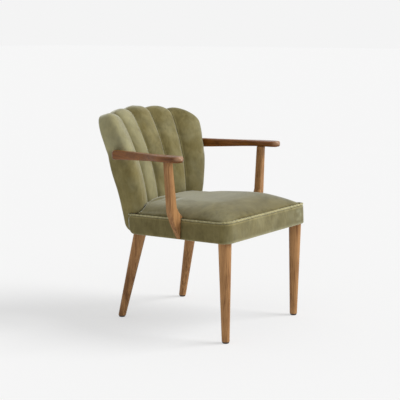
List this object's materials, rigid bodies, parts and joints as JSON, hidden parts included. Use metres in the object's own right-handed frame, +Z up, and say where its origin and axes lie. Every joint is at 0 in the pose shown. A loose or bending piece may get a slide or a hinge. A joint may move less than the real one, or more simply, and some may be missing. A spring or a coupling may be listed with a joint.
{
  "type": "dining armchair",
  "caption": "Upholstered dining armchair: channelled shell back, domed seat with piping, wooden arms on lapped posts and round tapered splayed legs.",
  "frame": {"origin": "The middle of the chair's width and depth, on the floor under the glides.", "axes": "+Z is up, -Y is the way the sitter faces, +X is the sitter's left."},
  "size_m": [0.7022, 0.699, 0.8303],
  "materials": {
    "velvet": "short-pile velvet, sage green",
    "timber": "stained, satin lacquer",
    "frame_timber": "planed, unfinished",
    "glide": "dark, moulded",
    "steel": "zinc plated",
    "jute": "woven webbing",
    "black_cloth": "non-woven cloth",
    "wadding": "polyurethane foam"
  },
  "bodies": {
    "root": {"front_leg_left": "timber", "front_leg_right": "timber", "rear_leg_left": "timber", "rear_leg_right": "timber", "leg_glides": "glide", "leg_bolts": "steel", "front_rail": "frame_timber", "rear_rail": "frame_timber", "side_rail_left": "frame_timber", "side_rail_right": "frame_timber", "corner_blocks": "frame_timber", "webbing_lengthwise": "jute", "webbing_crosswise": "jute", "dust_cover": "black_cloth", "seat_foam": "wadding", "seat_cushion": "velvet", "seat_band": "velvet", "seat_welt": "velvet", "back_board": "frame_timber", "back_upright_left": "frame_timber", "back_upright_right": "frame_timber", "back_sill": "frame_timber", "back_channel_1": "velvet", "back_channel_2": "velvet", "back_channel_3": "velvet", "back_channel_4": "velvet", "back_channel_5": "velvet", "outside_back_cover": "velvet", "armrest_left": "timber", "armrest_right": "timber", "arm_post_left": "timber", "arm_post_right": "timber", "arm_dowels": "frame_timber", "arm_post_bolts": "steel", "arm_back_bolts": "steel"}
  },
  "joints": []
}
